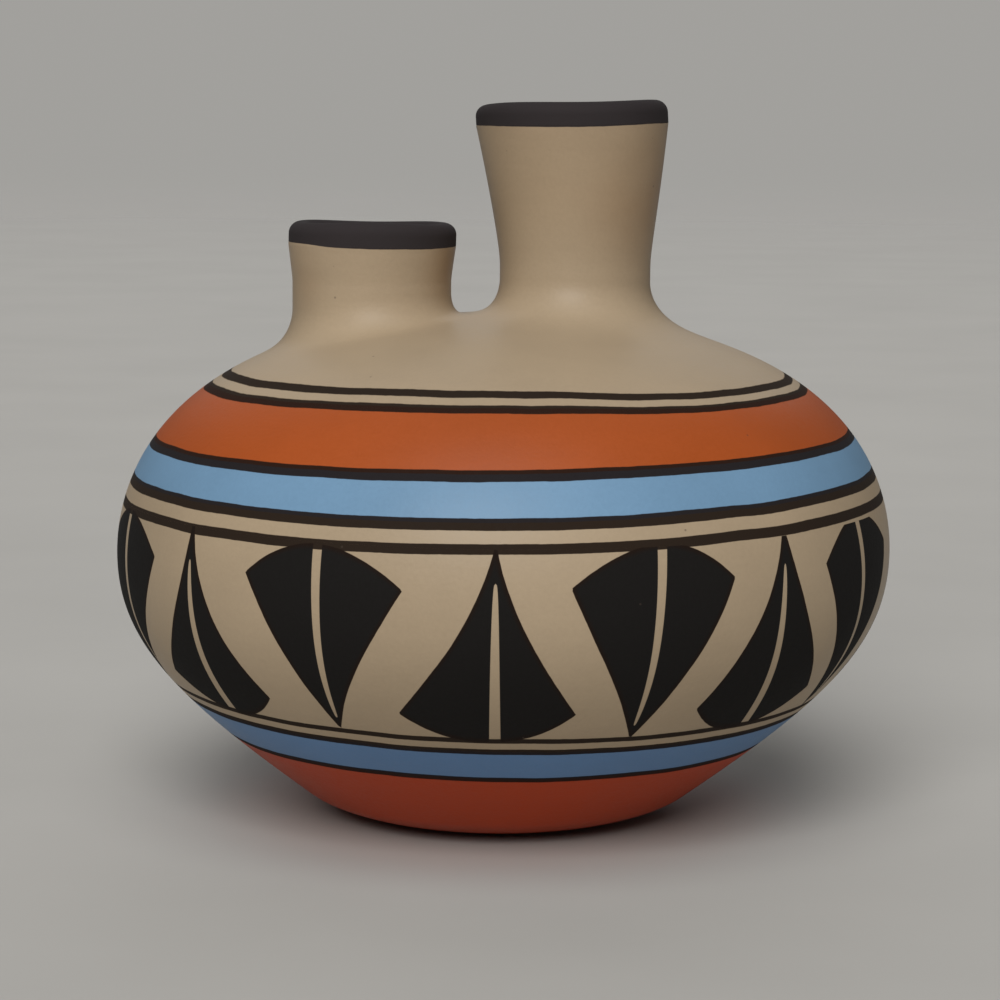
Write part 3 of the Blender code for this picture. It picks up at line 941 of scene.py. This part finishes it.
# %% The spouts and the crown's surface
Spout = namedtuple(
    "Spout",
    "axis_x waist rim rim_height valley_flare valley_climb outer_flare outer_climb "
    "rim_drift rim_slope lip_height faces",
)
SHORT = Spout(
    axis_x=-31.6, waist=18.2, rim=19.2, rim_height=DOME_HEIGHT + 20.9,
    valley_flare=3.4, valley_climb=5.4, outer_flare=7.0, outer_climb=8.0,
    rim_drift=0.2, rim_slope=-0.008, lip_height=5.2, faces=1,
)
TALL = Spout(
    axis_x=15.0, waist=17.25, rim=21.9, rim_height=DOME_HEIGHT + 48.4,
    valley_flare=7.5, valley_climb=8.4, outer_flare=15.0, outer_climb=10.2,
    rim_drift=-1.3, rim_slope=0.030, lip_height=5.0, faces=-1,
)
COLLAR_STRAIGHT = 2.0
COLLAR_SAMPLES = 144
FLARE_SPREAD = 2.0
VALLEY_X = ((SHORT.axis_x + SHORT.waist) + (TALL.axis_x - TALL.waist)) / 2


def dome_height(radius, inset):
    """Height of the dome's outside, or of its inside where inset is the wall, read off the outline."""
    upper = (INNER if inset else OUTER)[-OUTLINE_SAMPLES:][::-1]
    return np.interp(radius, upper[:, 0], upper[:, 1])


def flare_height(spout, x, y, inset):
    """Lift of the dome: climb times (1 - sqrt(1 - reach^5)), reach going from 0 at the flare's edge to 1.

    Its width and climb change round the neck with away, which is 0 in the valley and 1 on the outer side.
    """
    from_axis = np.hypot(x - spout.axis_x, y)
    away = 1 - ((1 + spout.faces * (x - spout.axis_x) / from_axis) / 2) ** 3
    width = spout.valley_flare + (spout.outer_flare - spout.valley_flare) * away + inset
    climb = spout.valley_climb + (spout.outer_climb - spout.valley_climb) * away + inset
    reach = np.clip(1 - (from_axis - (spout.waist - inset)) / (width * FLARE_SPREAD), 0, 1)
    return climb * (1 - np.sqrt(1 - reach**5))


def crown_height(x, y, inset):
    """The dome plus the flares of both necks."""
    lifted = flare_height(SHORT, x, y, inset) + flare_height(TALL, x, y, inset)
    return dome_height(np.hypot(x, y), inset) + lifted


def collar_height(spout):
    """Height of the joint between the crown and a neck: a little over the highest point of the flare."""
    turn = np.linspace(0, 2 * np.pi, COLLAR_SAMPLES)
    x = spout.axis_x + spout.waist * np.cos(turn)
    return float(crown_height(x, spout.waist * np.sin(turn), 0).max()) + COLLAR_STRAIGHT


print("collars at", [round(collar_height(spout), 2) for spout in (SHORT, TALL)], "mm")

# %% [markdown]
# ## One half of the crown
# Each half of the crown is a polar patch round one neck. Its border is the valley line between the necks
# and its share of the joint circle; its rings slide from that border in to the neck's wall.

# %% One half of the crown
VALLEY_STEPS = 110
CROWN_RINGS = 52
INSIDE_RINGS = 12
COLLAR_ROWS = 5


def crown_border(radius, faces, arc_steps):
    """Plan of one half's border: the valley line, closest in its middle, then an arc of the joint circle."""
    half = math.sqrt(radius**2 - VALLEY_X**2)
    spread = np.linspace(-1, 1, VALLEY_STEPS + 1)
    line_y = faces * half * spread * np.sqrt(abs(spread))
    line = np.column_stack([np.full(VALLEY_STEPS + 1, VALLEY_X), line_y])
    corner = math.acos(VALLEY_X / radius)
    first, last = (corner, math.tau - corner) if faces > 0 else (-corner, corner)
    turn = np.linspace(first, last, arc_steps + 1)[1:-1]
    return np.concatenate([line, radius * np.column_stack([np.cos(turn), np.sin(turn)])])


def crown_half(spout, border, inset, rings, collar):
    """Rings from the border in to the neck's wall, eased at both ends, then up the straight collar."""
    axis = np.array([spout.axis_x, 0])
    length = np.linalg.norm(border - axis, axis=1)[:, None]
    outward = (border - axis) / length
    step = np.linspace(1, 0, rings)[:, None, None]
    share = step**2 * (3 - 2 * step)
    plan = axis + outward * (spout.waist - inset + (length - spout.waist + inset) * share)
    height = crown_height(plan[..., 0], plan[..., 1], inset)
    rise = np.linspace(0, 1, COLLAR_ROWS + 1)[1:, None]
    straight = height[-1] + (collar - height[-1]) * rise
    plan = np.concatenate([plan, np.repeat(plan[-1:], COLLAR_ROWS, axis=0)])
    return np.concatenate([plan, np.concatenate([height, straight])[..., None]], axis=2)


print("rings in each half:", CROWN_RINGS, "outside,", INSIDE_RINGS, "inside")

# %% [markdown]
# ## The crown
# The outside and the inside of each half make one shell, left open along the valley. The two halves share
# the points of the valley line, so they are welded there and close each other.

# %% The crown
Shell = namedtuple("Shell", "points quads raw bake_map")
SHORT_ARC_STEPS = 330
TALL_ARC_STEPS = 420
WELD_DECIMALS = 4


def crown_shell(spout, outer_radius, inner_radius, arc_steps):
    """One half: outside, over the collar, inside, and the joint, left open along the valley."""
    collar = collar_height(spout)
    outside_border = crown_border(outer_radius, spout.faces, arc_steps)
    inside_border = crown_border(inner_radius, spout.faces, arc_steps)
    outside = crown_half(spout, outside_border, 0, CROWN_RINGS, collar)
    inside = crown_half(spout, inside_border, WALL, INSIDE_RINGS, collar + JOINT_LAP)
    rows = np.concatenate([outside, inside[::-1]])
    count = rows.shape[1]
    quads = grid_quads(len(rows), count)
    row, column = quads[:, 0] // count, quads[:, 0] % count
    on_valley = (row == len(rows) - 1) & (column < VALLEY_STEPS)
    raw = row >= len(outside) - 1
    bake_map = strip_map(len(outside), len(rows), count, 1)
    kept = ~on_valley
    return Shell(rows.reshape(-1, 3), quads[kept], raw[kept], bake_map[kept])


joint = CROWN_JOINT + HAIRLINE
joint_radii = (np.interp(joint, ALONG, OUTER[:, 0]), np.interp(joint + JOINT_LAP, ALONG, INNER[:, 0]))
short_half = crown_shell(SHORT, *joint_radii, SHORT_ARC_STEPS)
tall_half = crown_shell(TALL, *joint_radii, TALL_ARC_STEPS)
loose_points = np.concatenate([short_half.points, tall_half.points])
loose_quads = np.concatenate([short_half.quads, tall_half.quads + len(short_half.points)])
rounded = loose_points.round(WELD_DECIMALS)
_, kept_points, welded = np.unique(rounded, axis=0, return_index=True, return_inverse=True)
crown_points = lean(loose_points[kept_points])
crown_quads = welded.reshape(-1)[loose_quads]
crown_raw = np.concatenate([short_half.raw, tall_half.raw])
lower_half_map = short_half.bake_map * (1, 0.5)
upper_half_map = tall_half.bake_map * (1, 0.5) + (0, 0.5)
crown_map = np.concatenate([lower_half_map, upper_half_map])
crown_values = {"painted_level": painted_level(crown_points)}
make_piece("crown", crown_points, crown_quads, crown_raw, banded, crown_values, crown_map)

# %% [markdown]
# ## The shape of a spout
# A neck is an open tube that widens from its waist to the rim. It drifts and slopes a little towards the
# rim, as the real one does. The black of the lip ends in a wavering line close to the joint.

# %% The shape of a spout
LipEdge = namedtuple("LipEdge", "height rise dip")
SHORT_EDGE = LipEdge(height=131.8, rise=-0.5, dip=0.4)
TALL_EDGE = LipEdge(height=159.25, rise=0.45, dip=0.25)
NECK_BELL = 0.12
RIM_BACK_SLOPE = 0.03
RIM_WOBBLE = 0.18
RIM_LOBES = 3


def neck_wall(spout, heights, inset):
    """Section of a neck's wall, which widens up to the lip as a hyperbola.

    Its radius grows as sqrt(share^2 + bell^2) - bell, scaled to go from the waist to the rim.
    """
    collar = collar_height(spout)
    share = np.clip((heights - collar) / (spout.rim_height - spout.lip_height - collar), 0, 1)
    widening = (np.hypot(share, NECK_BELL) - NECK_BELL) / (math.hypot(1, NECK_BELL) - NECK_BELL)
    radius = spout.waist + (spout.rim - spout.waist) * widening
    return np.column_stack([radius - inset, heights])


def settler(spout):
    """A function that puts a spout in place: on its axis, leaning, and uneven towards its rim."""
    collar = collar_height(spout)

    def settle(points):
        share = np.clip((points[:, 2] - collar) / (spout.rim_height - collar), 0, 1)
        slope = spout.rim_slope * points[:, 0] - RIM_BACK_SLOPE * points[:, 1]
        wobble = RIM_WOBBLE * np.sin(RIM_LOBES * np.arctan2(points[:, 1], points[:, 0]) + spout.axis_x)
        height = points[:, 2] + (slope + wobble) * share
        side = points[:, 0] + spout.axis_x + spout.rim_drift * share**2
        return lean(np.column_stack([side, points[:, 1], height]))

    return settle


def over_edge(spout, edge):
    """A function for the height over the lip's painted edge, which tilts sideways and dips in front."""

    def values(points, level):
        across = (points[:, 0] - spout.axis_x) / spout.rim
        front = -points[:, 1] / spout.rim
        return {"over_lip_edge": points[:, 2] - (edge.height + edge.rise * across - edge.dip * front)}

    return values


print("lips are black above", SHORT_EDGE.height, "and", TALL_EDGE.height, "millimetres")

# %% [markdown]
# ## Necks and lips
# The neck and the lip of a spout are separate pieces, and the lip is a rolled ring with a round top. Both
# follow the same wall, so they line up at the joint.

# %% Necks and lips
LIP_ROUND = 0.48 * WALL
SPOUT_COLUMNS = 240
NECK_OUTSIDE_ROWS = 60
NECK_INSIDE_ROWS = 24
LIP_SIDE_ROWS = 9
LIP_ROUND_ROWS = 10
LIP_INSIDE_ROWS = 11


def add_spout(name, spout, edge):
    """One neck with its lip."""
    grid = {"columns": SPOUT_COLUMNS, "strips": 1}
    look = {"finish": spout_slip, "settle": settler(spout), "extra_values": over_edge(spout, edge)}
    foot = collar_height(spout) + HAIRLINE
    top = spout.rim_height - spout.lip_height
    outside = neck_wall(spout, np.linspace(foot, top, NECK_OUTSIDE_ROWS), 0)
    inside_heights = np.linspace(top - JOINT_LAP, foot + JOINT_LAP, NECK_INSIDE_ROWS)
    inside = neck_wall(spout, inside_heights, WALL)
    turned_piece(name + "_neck", outside, inside, slot="tan_slip", **grid, **look)
    lip_foot = top + HAIRLINE
    level = spout.rim_height - LIP_ROUND
    side_start = neck_wall(spout, np.array([lip_foot]), 0)[0]
    outer_side = np.linspace(side_start, (spout.rim, level), LIP_SIDE_ROWS + 1)[:-1]
    quarter = np.linspace(0, np.pi / 2, LIP_ROUND_ROWS)
    quarter_round = LIP_ROUND * np.column_stack([np.cos(quarter), np.sin(quarter)])
    outer_round = quarter_round + (spout.rim - LIP_ROUND, level)
    inner_round = quarter_round[::-1] * (-1, 1) + (spout.rim - WALL + LIP_ROUND, level)
    outside = np.concatenate([outer_side, outer_round, inner_round])
    inside_heights = np.linspace(level, lip_foot - JOINT_LAP, LIP_INSIDE_ROWS + 1)[1:]
    inside = neck_wall(spout, inside_heights, WALL)
    turned_piece(name + "_lip", outside, inside, slot="black_slip", **grid, **look)


add_spout("short", SHORT, SHORT_EDGE)
add_spout("tall", TALL, TALL_EDGE)
